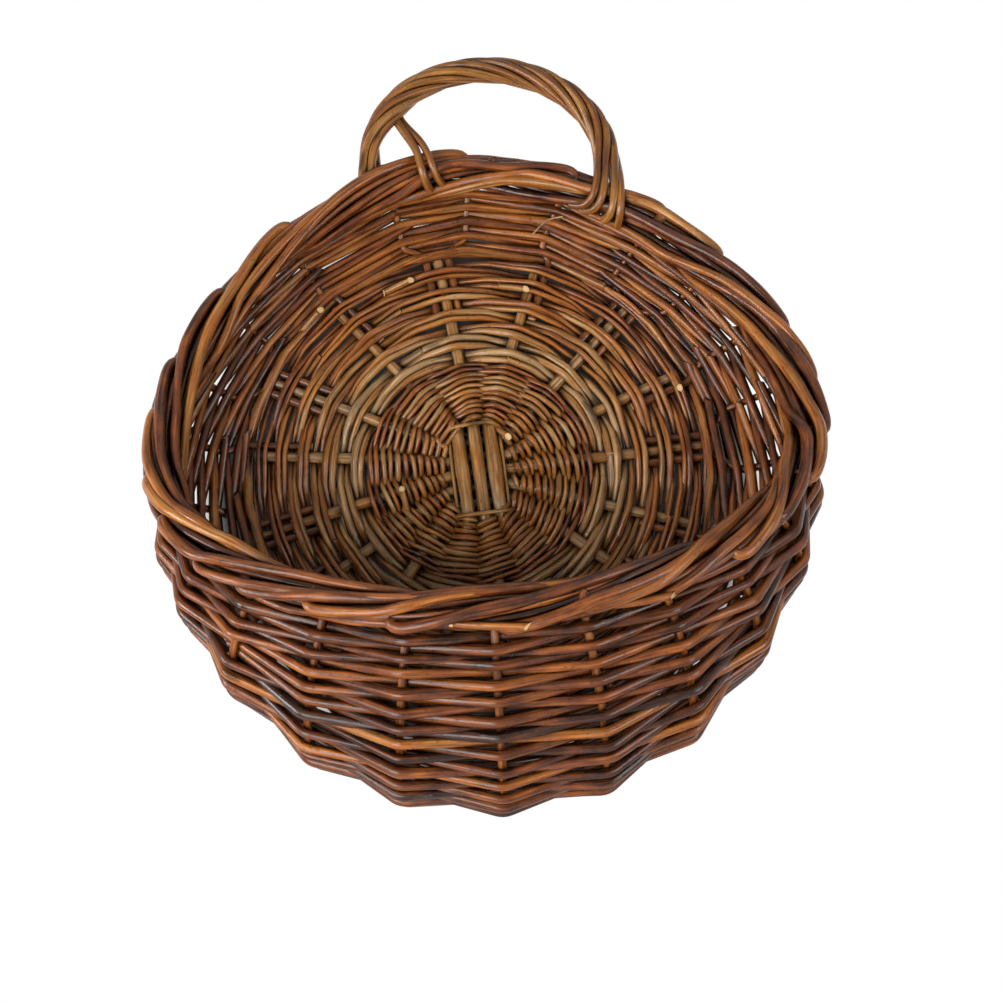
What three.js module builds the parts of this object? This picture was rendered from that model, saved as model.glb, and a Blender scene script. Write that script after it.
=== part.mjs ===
// A round wicker wall basket: a woven back disc, a wall that is low at the top and grows into a deep
// pocket in front, a rolled border round the mouth and a twisted handle above it.
// Millimetres and degrees. +X is right, +Y points back to the wall and +Z is up. The origin is where a
// hook carries the handle. Azimuths run clockwise from the top, seen from the front, and depths forward
// from the wall.

import * as THREE from "three";

// Rods, by diameter
const STICK_D = 4.2;
const STAKE_D = 3.4;
const WEAVER_D = 3;
const FINE_D = 1.8;
const BINDING_D = 1.6;
const BORDER_STRAND_D = 8;
const HANDLE_ROD_D = 3.1;

// Fits
const CLEARANCE = 0.4; // rods that lie side by side
const WEAVE_CLEARANCE = 0.6; // a weaver and the rod that it passes
const ROW_GAP = 0.6; // neighbouring bands of weavers
const HANDLE_GAP = 1.3; // neighbouring rods of the handle

// Back disc
const DISC_R = 87;
const DISC_EDGE = 1.5; // how far the sticks stop short of the disc's edge
const SLEW_INNER_R = 43;
const FINE_INNER_R = 27;
const SETTLE_LENGTH = 1; // the sticks lie in one plane this far inside the fine weave
const FINE_FLAT = 1.4; // the fine weavers lie flat this far to both sides of a stick's middle
const FINE_BANDS = 2;
const SLEW_BANDS = 5;
const STICK_PITCH = 6;
const SLATH_ANGLE = -8; // the crossed sticks lie a little turned

// Azimuths of both ends of each base stick, laid by hand: upper and lower end, then right and left end
const FRONT_STICK_ANGLES = [[319, 191], [349, 169], [15, 147]];
const REAR_STICK_ANGLES = [[41, 294], [63, 274], [83, 253], [104, 234], [125, 213]];

// Wall
const WALL_BANDS = 9;
const GROUPED_BANDS = 2; // the first bands pass the stakes of one spoke together
const STAKE_INSERT = 23; // length of a stake beside its spoke
const STAKE_SPREAD_ANGLE = 7.5; // azimuth between a spoke and each of its two stakes
const SPREAD_BY_SHARE = 0.3; // share of the wall by which the stakes have spread

// Mouth, at the middle of the border
const MOUTH_ANGLE = -5; // the pocket hangs lower on the left
const MOUTH_CENTRE_X = 2;
const RIM_HALF_WIDTH = 117;
const RIM_TOP = 115; // above the disc's centre
const RIM_PINCH = 4; // the mouth is narrower halfway from the top to the sides
const RIM_DROP = 69; // below the disc's centre, in front
const RIM_DEPTH_TOP = 22;
const RIM_DEPTH_SIDE = 48;
const RIM_DEPTH_FRONT = 92;

// Curve of the wall: pulls on its two ends, at the top and in front
const FOOT_PULL_TOP = 10;
const FOOT_PULL_FRONT = 49;
const FOOT_LIFT_TOP = 1.5;
const FOOT_LIFT_FRONT = 5;
const RIM_PULL_TOP = -6.5;
const RIM_PULL_FRONT = 85;
const RIM_LEAN_TOP = 8;
const RIM_LEAN_FRONT = 37;
const FOOT_EASE_POWER = 2.5; // how late on its way to the front the wall begins to bulge
const RIM_EASE_POWER = 3.4;

// Border
const BORDER_STRANDS = 3;
const BORDER_TURNS = -3; // the strands go outward as they run clockwise
const BORDER_SECTIONS = 60;

// Handle
const HANDLE_RODS = 5;
const HANDLE_HALF_SPAN = 46;
const HANDLE_CENTRE_X = 4;
const HANDLE_CROWN = 156; // middle of the arch above the disc's centre
const HANDLE_START_ANGLE = 18; // place of the first rod round the bundle at the right foot
const HANDLE_TWIST_ANGLE = 540;
const HANDLE_LIFT = 6; // start of the arch above the border
const FOOT_SPREAD_RATIO = 1.5; // how much wider the rods lie on the border than in the arch
const HANDLE_SECTIONS = 20;
const FRONT_WRAP_ANGLES = [40, 70, 100, 130, 160]; // how the front rods go round the border, from its top
const REAR_WRAP_ANGLES = [-40, -58, -75];

// Varnished willow
const VARNISH_ROUGHNESS = 0.45;
const STICK_COLOUR = 0x7a5434;
const BINDING_COLOUR = 0xa8824a;
const FINE_COLOUR = 0x8a4f2a;
const SLEW_COLOUR = 0x7d6a52;
const STAKE_COLOUR = 0x6b4a30;
const WALL_COLOUR = 0x74502f;
const BORDER_COLOUR = 0x7f4f2b;
const HANDLE_COLOUR = 0x9a7440;

// Fineness
const STICK_SIDES = 8;
const ROD_SIDES = 6;
const ANGLE_STEP = 0.25; // step of azimuth for directions along the wall
const ARCH_STEP = 0.025; // step of the arch's share for directions along the handle

const { degToRad, radToDeg, lerp, smoothstep } = THREE.MathUtils;
const BACK = new THREE.Vector3(0, 1, 0);

// Sizes that follow from the ones above
const slewSwing = (STICK_D + WEAVER_D) / 2 + WEAVE_CLEARANCE;
const fineSwing = (STICK_D + FINE_D) / 2 + WEAVE_CLEARANCE;
const wallSwing = (STAKE_D + WEAVER_D) / 2 + WEAVE_CLEARANCE;
const baseDepth = slewSwing + WEAVER_D / 2;
const rearStickDepth = BINDING_D + CLEARANCE + STICK_D / 2;
const frontStickDepth = rearStickDepth + STICK_D + CLEARANCE;
const spokeEndR = DISC_R - DISC_EDGE;
const stakeSideways = (STICK_D + STAKE_D) / 2 + CLEARANCE;
const borderLay = (BORDER_STRAND_D + CLEARANCE) / (2 * Math.sin(Math.PI / BORDER_STRANDS));
const borderR = borderLay + BORDER_STRAND_D / 2;
const handleLay = (HANDLE_ROD_D + HANDLE_GAP) / (2 * Math.sin(Math.PI / HANDLE_RODS));
const handleR = handleLay + HANDLE_ROD_D / 2;

// Point at a radius and azimuth round the disc's centre, at a depth in front of the wall
function discPoint(radius, azimuth, depth) {
  const turn = degToRad(azimuth);
  return new THREE.Vector3(radius * Math.sin(turn), -depth, radius * Math.cos(turn));
}

function outward(azimuth) {
  return discPoint(1, azimuth, 0);
}

function azimuthOf(point) {
  return radToDeg(Math.atan2(point.x, point.z));
}

function atDepth(point, depth) {
  return new THREE.Vector3(point.x, -depth, point.z);
}

// Solid through a row of sections, each a ring of corners in the same order; a closed one joins its ends
function sweep(sections, closed) {
  const corners = sections[0].length;
  const joins = closed ? sections.length : sections.length - 1;
  const faces = [];
  for (let i = 0; i < joins; i += 1) {
    const here = i * corners;
    const next = ((i + 1) % sections.length) * corners;
    for (let k = 0; k < corners; k += 1) {
      const after = (k + 1) % corners;
      faces.push(here + k, here + after, next + after);
      faces.push(here + k, next + after, next + k);
    }
  }
  if (!closed) {
    const last = (sections.length - 1) * corners;
    for (let k = 1; k < corners - 1; k += 1) {
      faces.push(0, k + 1, k);
      faces.push(last, last + k, last + k + 1);
    }
  }
  const corner = sections.flat().flatMap((point) => point.toArray());
  const solid = new THREE.BufferGeometry();
  solid.setAttribute("position", new THREE.Float32BufferAttribute(corner, 3));
  solid.setIndex(faces);
  return solid;
}

// Round rod through points; one of its flats faces the direction given for each point
function rod(points, facings, diameter, sides, closed = false) {
  const count = points.length;
  const sections = points.map((point, i) => {
    const before = closed ? points[(i + count - 1) % count] : points[Math.max(i - 1, 0)];
    const after = closed ? points[(i + 1) % count] : points[Math.min(i + 1, count - 1)];
    const along = after.clone().sub(before).normalize();
    const across = facings[i].clone().addScaledVector(along, -along.dot(facings[i])).normalize();
    const beside = along.clone().cross(across);
    return Array.from({ length: sides }, (_, k) => {
      const turn = ((k + 0.5) / sides) * 2 * Math.PI;
      return point
        .clone()
        .addScaledVector(across, (Math.cos(turn) * diameter) / 2)
        .addScaledVector(beside, (Math.sin(turn) * diameter) / 2);
    });
  });
  return sweep(sections, closed);
}

// Base stick: a straight middle and two ends that splay to their azimuths
function layStick(ends, heading, sideways, straightHalf) {
  const middle = outward(heading + 90).multiplyScalar(sideways);
  return ends.map((azimuth, side) => {
    const reach = side === 0 ? straightHalf : -straightHalf;
    const knee = middle.clone().addScaledVector(outward(heading), reach);
    const tip = discPoint(spokeEndR, azimuth, 0);
    return { knee, tip, azimuth };
  });
}

// Point of a spoke at about a radius from the disc's centre
function spokeAt(spoke, radius) {
  const kneeR = spoke.knee.length();
  return spoke.knee.clone().lerp(spoke.tip, (radius - kneeR) / (spokeEndR - kneeR));
}

function stickRod([first, second], depth) {
  const settleR = FINE_INNER_R - SETTLE_LENGTH;
  const points = [
    atDepth(first.tip, baseDepth),
    atDepth(spokeAt(first, settleR), baseDepth),
    atDepth(first.knee, depth),
    atDepth(second.knee, depth),
    atDepth(spokeAt(second, settleR), baseDepth),
    atDepth(second.tip, baseDepth),
  ];
  return rod(points, points.map(() => BACK), STICK_D, STICK_SIDES);
}

// The binding lies just outside the crossed sticks, in two rounds
function rowHalf(count) {
  return ((count - 1) * STICK_PITCH + STICK_D) / 2;
}

function bindingHalf(count, round) {
  return rowHalf(count) + (round + 1) * CLEARANCE + (round + 0.5) * BINDING_D;
}

const frontStraight = bindingHalf(REAR_STICK_ANGLES.length, 1) + BINDING_D / 2 + CLEARANCE;
const rearStraight = bindingHalf(FRONT_STICK_ANGLES.length, 1) + BINDING_D / 2 + CLEARANCE;

const frontSticks = FRONT_STICK_ANGLES.map((ends, i) => {
  const sideways = (i - (FRONT_STICK_ANGLES.length - 1) / 2) * STICK_PITCH;
  return layStick(ends, SLATH_ANGLE, sideways, frontStraight);
});
const rearSticks = REAR_STICK_ANGLES.map((ends, i) => {
  const sideways = (i - (REAR_STICK_ANGLES.length - 1) / 2) * STICK_PITCH;
  return layStick(ends, SLATH_ANGLE + 90, sideways, rearStraight);
});
const spokes = [...frontSticks, ...rearSticks].flat().sort((a, b) => a.azimuth - b.azimuth);

// One round of the binding: it passes the front sticks at one depth and the rear sticks at another
function bindingRod(round, depthAtFront, depthAtRear) {
  const across = bindingHalf(FRONT_STICK_ANGLES.length, round);
  const along = bindingHalf(REAR_STICK_ANGLES.length, round);
  const overFront = rowHalf(FRONT_STICK_ANGLES.length) - CLEARANCE;
  const overRear = rowHalf(REAR_STICK_ANGLES.length) - CLEARANCE;
  const corners = [
    [-overFront, along, depthAtFront],
    [overFront, along, depthAtFront],
    [across, overRear, depthAtRear],
    [across, -overRear, depthAtRear],
    [overFront, -along, depthAtFront],
    [-overFront, -along, depthAtFront],
    [-across, -overRear, depthAtRear],
    [-across, overRear, depthAtRear],
  ];
  const points = corners.map(([right, up, depth]) => {
    const point = outward(SLATH_ANGLE + 90).multiplyScalar(right);
    return atDepth(point.addScaledVector(outward(SLATH_ANGLE), up), depth);
  });
  return rod(points, points.map(() => BACK), BINDING_D, ROD_SIDES, true);
}

// Closed band of weavers. At every crossing it stays flat past the rod, then changes to the other side.
// The section function gives the band's corners at an azimuth, moved outward by an offset.
function wovenBand(crossings, firstSide, swing, section) {
  const sections = crossings.flatMap(({ azimuth, flat }, i) => {
    const offset = (i % 2 === 0 ? firstSide : -firstSide) * swing;
    const next = crossings[(i + 1) % crossings.length];
    const nextStart = next.azimuth - next.flat + (i + 1 === crossings.length ? 360 : 0);
    const between = (azimuth + flat + nextStart) / 2;
    return [section(azimuth - flat, offset), section(azimuth + flat, offset), section(between, 0)];
  });
  return sweep(sections, true);
}

// Band of the back disc between two radii
function discBand(innerR, outerR, thickness, swing, flatLength, firstSide) {
  const middleR = (innerR + outerR) / 2;
  const crossings = spokes.map((spoke) => ({
    azimuth: azimuthOf(spokeAt(spoke, middleR)),
    flat: radToDeg(flatLength / middleR),
  }));
  crossings.sort((a, b) => a.azimuth - b.azimuth);
  return wovenBand(crossings, firstSide, swing, (azimuth, offset) => [
    discPoint(innerR, azimuth, baseDepth - offset - thickness / 2),
    discPoint(outerR, azimuth, baseDepth - offset - thickness / 2),
    discPoint(outerR, azimuth, baseDepth - offset + thickness / 2),
    discPoint(innerR, azimuth, baseDepth - offset + thickness / 2),
  ]);
}

// Share of the way round from the top to the front of the mouth
function frontShare(azimuth) {
  return (1 - Math.cos(degToRad(azimuth - MOUTH_ANGLE))) / 2;
}

// The mouth is half a circle above and half an ellipse below
function mouthHeight(azimuth) {
  return Math.cos(degToRad(azimuth - MOUTH_ANGLE)) > 0 ? RIM_TOP : RIM_DROP;
}

// Middle of the border
function rimPoint(azimuth) {
  const turn = degToRad(azimuth - MOUTH_ANGLE);
  const share = frontShare(azimuth);
  const bend = 2 * (RIM_DEPTH_TOP + RIM_DEPTH_FRONT - 2 * RIM_DEPTH_SIDE);
  const depth = lerp(RIM_DEPTH_TOP, RIM_DEPTH_FRONT, share) - bend * share * (1 - share);
  const point = outward(MOUTH_ANGLE + 90).multiplyScalar(RIM_HALF_WIDTH * Math.sin(turn));
  point.addScaledVector(outward(MOUTH_ANGLE), mouthHeight(azimuth) * Math.cos(turn));
  const pinch = Math.cos(turn) > 0 ? RIM_PINCH * Math.sin(2 * turn) ** 2 : 0;
  point.addScaledVector(mouthOut(azimuth), -pinch);
  return atDepth(point.setX(point.x + MOUTH_CENTRE_X), depth);
}

// Direction away from the mouth, square to its outline
function mouthOut(azimuth) {
  const turn = degToRad(azimuth - MOUTH_ANGLE);
  const out = outward(MOUTH_ANGLE + 90).multiplyScalar(Math.sin(turn) / RIM_HALF_WIDTH);
  return out.addScaledVector(outward(MOUTH_ANGLE), Math.cos(turn) / mouthHeight(azimuth)).normalize();
}

function rimDirection(azimuth) {
  return rimPoint(azimuth + ANGLE_STEP).sub(rimPoint(azimuth - ANGLE_STEP)).normalize();
}

function rimPull(azimuth) {
  const share = frontShare(azimuth);
  const pull = lerp(RIM_PULL_TOP, RIM_PULL_FRONT, share ** RIM_EASE_POWER);
  const lean = lerp(RIM_LEAN_TOP, RIM_LEAN_FRONT, share);
  return mouthOut(azimuth).multiplyScalar(pull).addScaledVector(BACK, lean);
}

// Middle of the wall at an azimuth, from the disc's edge to just under the border
function wallCurve(azimuth) {
  const share = frontShare(azimuth);
  const foot = discPoint(DISC_R, azimuth, baseDepth);
  const footPull = lerp(FOOT_PULL_TOP, FOOT_PULL_FRONT, share ** FOOT_EASE_POWER);
  const footLift = lerp(FOOT_LIFT_TOP, FOOT_LIFT_FRONT, share);
  const rim = rimPoint(azimuth);
  const pull = rimPull(azimuth);
  const slant = pull.angleTo(rimDirection(azimuth));
  const short = (borderR + CLEARANCE + Math.abs(Math.cos(slant)) * (STAKE_D / 2)) / Math.sin(slant);
  const end = rim.clone().addScaledVector(pull.clone().normalize(), short);
  const nearFoot = foot.clone().addScaledVector(outward(azimuth), footPull);
  nearFoot.addScaledVector(BACK, -footLift);
  return new THREE.CubicBezierCurve3(foot, nearFoot, rim.add(pull), end);
}

function wallPoint(azimuth, share) {
  return wallCurve(azimuth).getPointAt(share);
}

// Direction along a row of the wall, its length being millimetres per degree
function alongRow(azimuth, share) {
  const step = wallPoint(azimuth + ANGLE_STEP, share).sub(wallPoint(azimuth - ANGLE_STEP, share));
  return step.divideScalar(2 * ANGLE_STEP);
}

// Direction away from the inside of the basket
function wallNormal(azimuth, share) {
  return wallCurve(azimuth).getTangentAt(share).cross(alongRow(azimuth, share)).normalize();
}

// Stakes: spokes hold one and two of them by turns, each pushed in beside its spoke
const stakes = spokes.flatMap((spoke, i) => {
  const sides = i % 2 === 0 ? [1] : [-1, 1];
  return sides.map((side) => {
    const heading = azimuthOf(spoke.tip.clone().sub(spoke.knee));
    const beside = outward(heading + 90).multiplyScalar(side * stakeSideways);
    const inner = spokeAt(spoke, DISC_R - STAKE_INSERT).add(beside);
    const edge = spokeAt(spoke, DISC_R).add(beside);
    const spread = sides.length === 1 ? 0 : side * STAKE_SPREAD_ANGLE;
    const lean = azimuthOf(edge) - azimuthOf(spoke.tip);
    return { spoke, inner, lean, spread };
  });
});

function stakeAzimuth(stake, share) {
  return stake.spoke.azimuth + lerp(stake.lean, stake.spread, smoothstep(share, 0, SPREAD_BY_SHARE));
}

function stakeRod(stake) {
  const points = [atDepth(stake.inner, baseDepth)];
  const facings = [BACK];
  for (let i = 0; i <= WALL_BANDS; i += 1) {
    const share = i / WALL_BANDS;
    const azimuth = stakeAzimuth(stake, share);
    points.push(wallPoint(azimuth, share));
    facings.push(wallNormal(azimuth, share));
  }
  return rod(points, facings, STAKE_D, ROD_SIDES);
}

// Where one band of the wall passes a group of stakes, at the band's two edges
function wallCrossing(group, low, high) {
  const azimuths = group.flatMap((stake) => [stakeAzimuth(stake, low), stakeAzimuth(stake, high)]);
  const azimuth = (Math.min(...azimuths) + Math.max(...azimuths)) / 2;
  const past = (STAKE_D / 2 + CLEARANCE) / alongRow(azimuth, (low + high) / 2).length();
  return { azimuth, flat: Math.max(...azimuths) - azimuth + past };
}

function wallBand(index) {
  const low = index / WALL_BANDS;
  const high = (index + 1) / WALL_BANDS;
  const groups = index < GROUPED_BANDS
    ? spokes.map((spoke) => stakes.filter((stake) => stake.spoke === spoke))
    : stakes.map((stake) => [stake]);
  const crossings = groups.map((group) => wallCrossing(group, low, high));
  const firstSide = index % 2 === 0 ? 1 : -1;
  return wovenBand(crossings, firstSide, wallSwing, (azimuth, offset) => {
    const trim = ROW_GAP / 2 / wallCurve(azimuth).getLength();
    const corner = (share, away) =>
      wallPoint(azimuth, share).addScaledVector(wallNormal(azimuth, share), offset + away);
    return [
      corner(low + trim, WEAVER_D / 2),
      corner(high - trim, WEAVER_D / 2),
      corner(high - trim, -WEAVER_D / 2),
      corner(low + trim, -WEAVER_D / 2),
    ];
  });
}

// The border's bundles wind round each other like the strands of a rope
function borderRod(strand) {
  const points = [];
  const facings = [];
  for (let i = 0; i < BORDER_SECTIONS; i += 1) {
    const azimuth = (i / BORDER_SECTIONS) * 360;
    const turn = degToRad((strand / BORDER_STRANDS) * 360 + BORDER_TURNS * azimuth);
    const along = rimDirection(azimuth);
    const front = along.clone().cross(outward(azimuth)).normalize();
    const up = front.clone().cross(along);
    const facing = up.multiplyScalar(Math.cos(turn)).addScaledVector(front, Math.sin(turn));
    points.push(rimPoint(azimuth).addScaledVector(facing, borderLay));
    facings.push(facing);
  }
  return rod(points, facings, BORDER_STRAND_D, ROD_SIDES, true);
}

// Place where the handle meets the border
function handleFoot(x) {
  const azimuth = radToDeg(Math.asin((x - MOUTH_CENTRE_X) / RIM_HALF_WIDTH));
  const centre = rimPoint(azimuth);
  const along = rimDirection(azimuth);
  const front = along.clone().cross(outward(azimuth)).normalize();
  const up = front.clone().cross(along);
  return { centre, along, front, up };
}

const rightFoot = handleFoot(HANDLE_CENTRE_X + HANDLE_HALF_SPAN);
const leftFoot = handleFoot(HANDLE_CENTRE_X - HANDLE_HALF_SPAN);

// Middle of the handle's arch, from the right foot to the left one
function archPoint(share) {
  const turn = Math.PI * share;
  const spring = rightFoot.centre.clone().lerp(leftFoot.centre, (1 - Math.cos(turn)) / 2);
  const middleZ = (rightFoot.centre.z + leftFoot.centre.z) / 2;
  const rise = HANDLE_CROWN - middleZ - borderR - HANDLE_LIFT;
  return spring.setZ(spring.z + borderR + HANDLE_LIFT + rise * Math.sin(turn));
}

function archOffset(rodIndex, share) {
  const before = archPoint(Math.max(share - ARCH_STEP, 0));
  const along = archPoint(Math.min(share + ARCH_STEP, 1)).sub(before).normalize();
  const out = BACK.clone().cross(along).normalize().negate();
  const place = HANDLE_START_ANGLE + (rodIndex / HANDLE_RODS) * 360;
  const turn = degToRad(place + HANDLE_TWIST_ANGLE * share);
  return out.multiplyScalar(Math.cos(turn)).addScaledVector(BACK, -Math.sin(turn));
}

// Tail of a handle rod round the border, on the side where the twist leaves the rod
function footTail(foot, offset) {
  const wrap = offset.dot(BACK) < 0 ? FRONT_WRAP_ANGLES : REAR_WRAP_ANGLES;
  const sideways = offset.dot(foot.along) * handleLay * FOOT_SPREAD_RATIO;
  const wrapR = borderR + CLEARANCE + HANDLE_ROD_D / 2;
  return wrap.map((angle) => {
    const turn = degToRad(angle);
    const facing = foot.up.clone().multiplyScalar(Math.cos(turn));
    facing.addScaledVector(foot.front, Math.sin(turn));
    const beside = foot.centre.clone().addScaledVector(foot.along, sideways);
    return { point: beside.addScaledVector(facing, wrapR), facing };
  });
}

function handleRod(rodIndex) {
  const arch = Array.from({ length: HANDLE_SECTIONS + 1 }, (_, i) => {
    const share = i / HANDLE_SECTIONS;
    const facing = archOffset(rodIndex, share);
    return { point: archPoint(share).addScaledVector(facing, handleLay), facing };
  });
  const right = footTail(rightFoot, arch[0].facing).reverse();
  const left = footTail(leftFoot, arch[HANDLE_SECTIONS].facing);
  const path = [...right, ...arch, ...left];
  const points = path.map(({ point }) => point);
  const facings = path.map(({ facing }) => facing);
  return rod(points, facings, HANDLE_ROD_D, ROD_SIDES);
}

// The basket
const part = new THREE.Group();
part.name = "wicker_wall_planter";

function add(name, geometry, color) {
  const material = new THREE.MeshStandardMaterial({ color, roughness: VARNISH_ROUGHNESS, metalness: 0 });
  const mesh = new THREE.Mesh(geometry, material);
  mesh.name = name;
  part.add(mesh);
}

frontSticks.forEach((stick, i) => {
  add(`base_stick_front_${i + 1}`, stickRod(stick, frontStickDepth), STICK_COLOUR);
});
rearSticks.forEach((stick, i) => {
  add(`base_stick_rear_${i + 1}`, stickRod(stick, rearStickDepth), STICK_COLOUR);
});

const bindingReach = (STICK_D + BINDING_D) / 2 + CLEARANCE;
const innerBinding = bindingRod(0, frontStickDepth - bindingReach, rearStickDepth + bindingReach);
const outerBinding = bindingRod(1, frontStickDepth + bindingReach, rearStickDepth - bindingReach);
add("binding_inner", innerBinding, BINDING_COLOUR);
add("binding_outer", outerBinding, BINDING_COLOUR);

// Rows of bands on the disc, each with a gap to the next
function discRow(index, rows, innerR, outerR) {
  const height = (outerR - innerR) / rows;
  return [innerR + index * height + ROW_GAP / 2, innerR + (index + 1) * height - ROW_GAP / 2];
}

for (let i = 0; i < FINE_BANDS; i += 1) {
  const [innerR, outerR] = discRow(i, FINE_BANDS, FINE_INNER_R, SLEW_INNER_R);
  const band = discBand(innerR, outerR, FINE_D, fineSwing, FINE_FLAT, i % 2 === 0 ? 1 : -1);
  add(`fine_weave_${i + 1}`, band, FINE_COLOUR);
}
for (let i = 0; i < SLEW_BANDS; i += 1) {
  const [innerR, outerR] = discRow(i, SLEW_BANDS, SLEW_INNER_R, spokeEndR);
  const besideStakes = outerR > DISC_R - STAKE_INSERT - STAKE_D;
  const flat = besideStakes ? stakeSideways + STAKE_D / 2 + CLEARANCE : STICK_D / 2;
  const band = discBand(innerR, outerR, WEAVER_D, slewSwing, flat, i % 2 === 0 ? 1 : -1);
  add(`disc_weave_${i + 1}`, band, SLEW_COLOUR);
}

stakes.forEach((stake, i) => {
  add(`stake_${String(i + 1).padStart(2, "0")}`, stakeRod(stake), STAKE_COLOUR);
});
for (let i = 0; i < WALL_BANDS; i += 1) {
  add(`wall_weave_${i + 1}`, wallBand(i), WALL_COLOUR);
}
for (let i = 0; i < BORDER_STRANDS; i += 1) {
  add(`border_strand_${i + 1}`, borderRod(i), BORDER_COLOUR);
}
for (let i = 0; i < HANDLE_RODS; i += 1) {
  add(`handle_rod_${i + 1}`, handleRod(i), HANDLE_COLOUR);
}

// The hook carries the underside of the arch
const hook = archPoint(0.5);
part.position.set(-hook.x, -hook.y, handleR - hook.z);

export default part;
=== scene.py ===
import math
import bpy
import numpy as np
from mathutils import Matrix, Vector


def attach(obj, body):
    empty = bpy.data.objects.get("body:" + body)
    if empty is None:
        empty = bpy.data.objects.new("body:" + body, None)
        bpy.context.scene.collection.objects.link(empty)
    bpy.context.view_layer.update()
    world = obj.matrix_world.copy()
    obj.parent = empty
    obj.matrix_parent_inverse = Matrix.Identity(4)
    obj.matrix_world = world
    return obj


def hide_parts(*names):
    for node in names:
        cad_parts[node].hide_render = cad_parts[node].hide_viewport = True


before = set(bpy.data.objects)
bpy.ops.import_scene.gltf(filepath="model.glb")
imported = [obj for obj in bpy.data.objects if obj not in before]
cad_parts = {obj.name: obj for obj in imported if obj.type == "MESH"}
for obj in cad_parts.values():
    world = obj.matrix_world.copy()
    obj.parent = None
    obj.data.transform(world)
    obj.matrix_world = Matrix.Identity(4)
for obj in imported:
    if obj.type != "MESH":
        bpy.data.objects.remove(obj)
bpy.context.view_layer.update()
dice = np.random.default_rng(25)  # one seeded source for all that is uneven by hand
print("frame loaded,", len(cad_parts), "nodes")

# The form of the basket in mm round the middle of the back disc, on the wall:
# x right, y back, z up. Azimuths run clockwise from the top, seen from the front.
form = {
    "discMiddle": (-3.8079, 23.5387, -150.7071),  # place of that middle in the frame
    "discRadius": 87,
    "discDepth": 5.7,  # the spokes' middle in front of the wall
    "mouthTurn": -5,  # degrees that the mouth leans left
    "mouthMiddleX": 2,
    "rimHalfWidth": 117,
    "rimTop": 115,
    "rimPinch": 4,  # the mouth is drawn in this much at its shoulders
    "rimDrop": 69,
    "rimDepth": (22, 48, 92),  # at the top, at the sides, in front
    "footPull": (10, 49),  # how far the wall runs on outward from the disc: top, front
    "footLift": (1.5, 5),
    "rimPull": (-6.5, 85),
    "rimLean": (8, 37),
    "footEase": 2.5,
    "rimEase": 3.4,
    "underBorder": 9.25,  # the wall ends this far below the border's middle
    "stakeHalf": 1.7,
    "nudge": 0.25,  # degrees to both sides, to find which way the border runs
}


def outward(azimuth):
    turn = np.radians(np.asarray(azimuth, float))
    return np.stack([np.sin(turn), np.zeros_like(turn), np.cos(turn)], axis=-1)


def mix(a, b, share):
    return a + (b - a) * share


def ease(share):
    t = np.clip(share, 0, 1)
    return t * t * (3 - 2 * t)


def unit(vectors):
    return vectors / np.linalg.norm(vectors, axis=-1, keepdims=True)


def times(vectors, lengths):
    return vectors * np.asarray(lengths, float)[..., None]


def azimuthOf(point):
    return math.degrees(math.atan2(point[0], point[2]))


def mouthAngle(azimuth):  # radians from the top of the mouth
    return np.radians(np.asarray(azimuth, float) - form["mouthTurn"])


def frontShare(azimuth):  # 0 at the top of the mouth, 1 in front
    return (1 - np.cos(mouthAngle(azimuth))) / 2


def inMouth(across, upward):  # so far across and up, with the mouth's turn
    toSide = outward(form["mouthTurn"] + 90 + 0 * across)
    return times(toSide, across) + times(outward(form["mouthTurn"] + 0 * upward), upward)


def mouthHeight(turn):
    return np.where(np.cos(turn) > 0, form["rimTop"], form["rimDrop"])


def mouthOut(azimuth):
    turn = mouthAngle(azimuth)
    return unit(inMouth(np.sin(turn) / form["rimHalfWidth"], np.cos(turn) / mouthHeight(turn)))


def rimPoint(azimuth):
    turn = mouthAngle(azimuth)
    share = frontShare(azimuth)
    top, side, front = form["rimDepth"]
    depth = mix(top, front, share) - 2 * (top + front - 2 * side) * share * (1 - share)
    point = inMouth(form["rimHalfWidth"] * np.sin(turn), mouthHeight(turn) * np.cos(turn))
    pinch = np.where(np.cos(turn) > 0, form["rimPinch"] * np.sin(2 * turn) ** 2, 0)
    point = point - times(mouthOut(azimuth), pinch)
    return np.stack([point[..., 0] + form["mouthMiddleX"], -depth, point[..., 2]], axis=-1)


def rimFrame(azimuth):  # along the border, to the front of it, and outward from the mouth
    azimuth = np.asarray(azimuth, float)
    along = unit(rimPoint(azimuth + form["nudge"]) - rimPoint(azimuth - form["nudge"]))
    front = unit(np.cross(along, outward(azimuth)))
    return along, front, np.cross(front, along)


# Table of the wall's middle surface: columns round the basket, rows from the disc's edge to the border
tableStep = 0.5  # degrees
tableRows = 61
curveSteps = 121


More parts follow.
